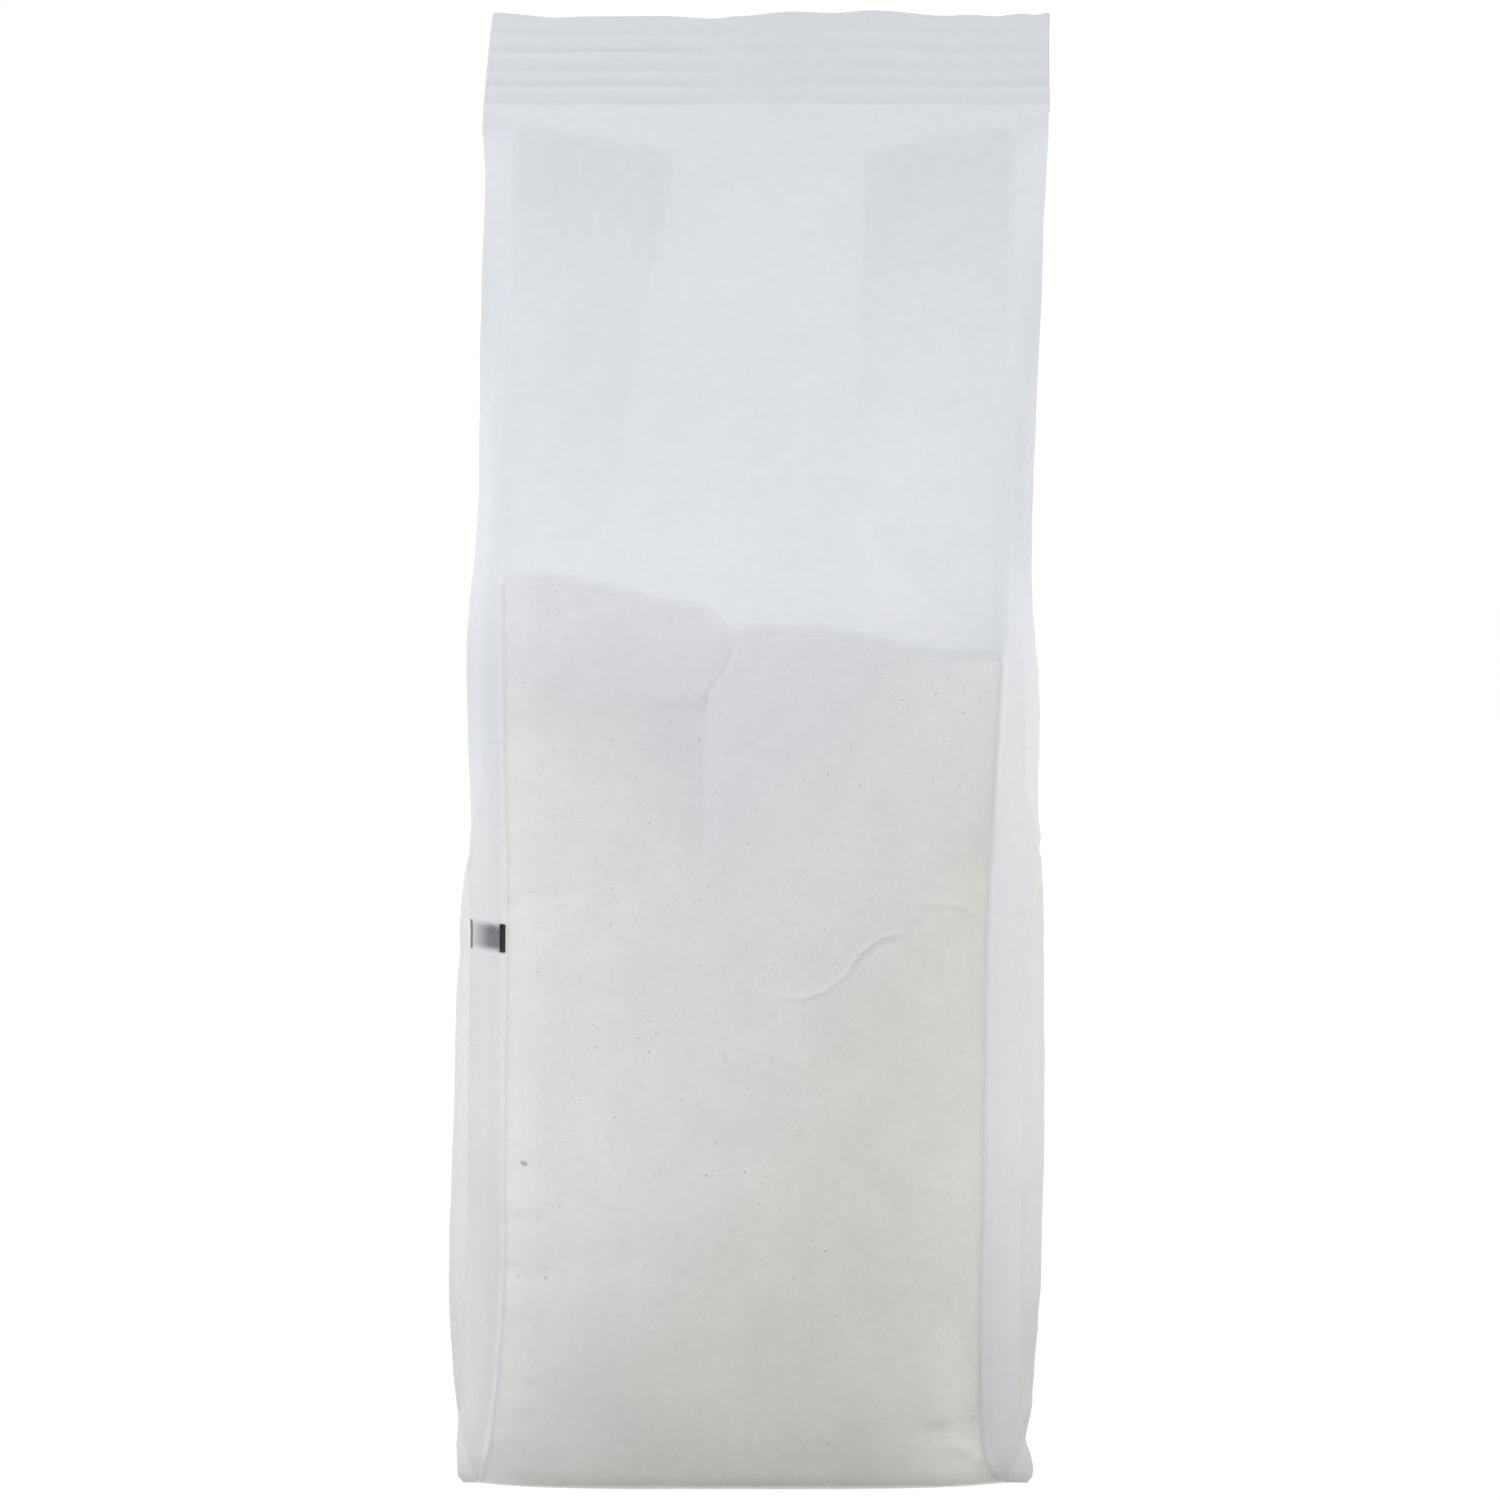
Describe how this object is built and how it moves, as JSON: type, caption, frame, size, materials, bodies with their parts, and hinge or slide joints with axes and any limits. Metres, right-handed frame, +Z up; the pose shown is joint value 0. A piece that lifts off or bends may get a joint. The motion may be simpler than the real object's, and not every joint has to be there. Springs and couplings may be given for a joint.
{
  "type": "bag of rice flour",
  "caption": "Upright block-bottom bag of frosted film, part full of pale speckled flour, with welded corner fins, side gussets that swell and fold in, and a crimped top seal.",
  "frame": {"origin": "centre of the bag's outline on the surface it stands on", "axes": "+Z up to the top seal, the front panel faces -Y, +X to the right of a viewer who faces it"},
  "size_m": [0.0994, 0.0706, 0.2404],
  "materials": {
    "film": "frosted translucent film, soft sheen",
    "flour": "dry off-white powder with fine bran specks",
    "ink": "flat black print"
  },
  "bodies": {
    "root": {"bag": "film"}
  },
  "joints": []
}
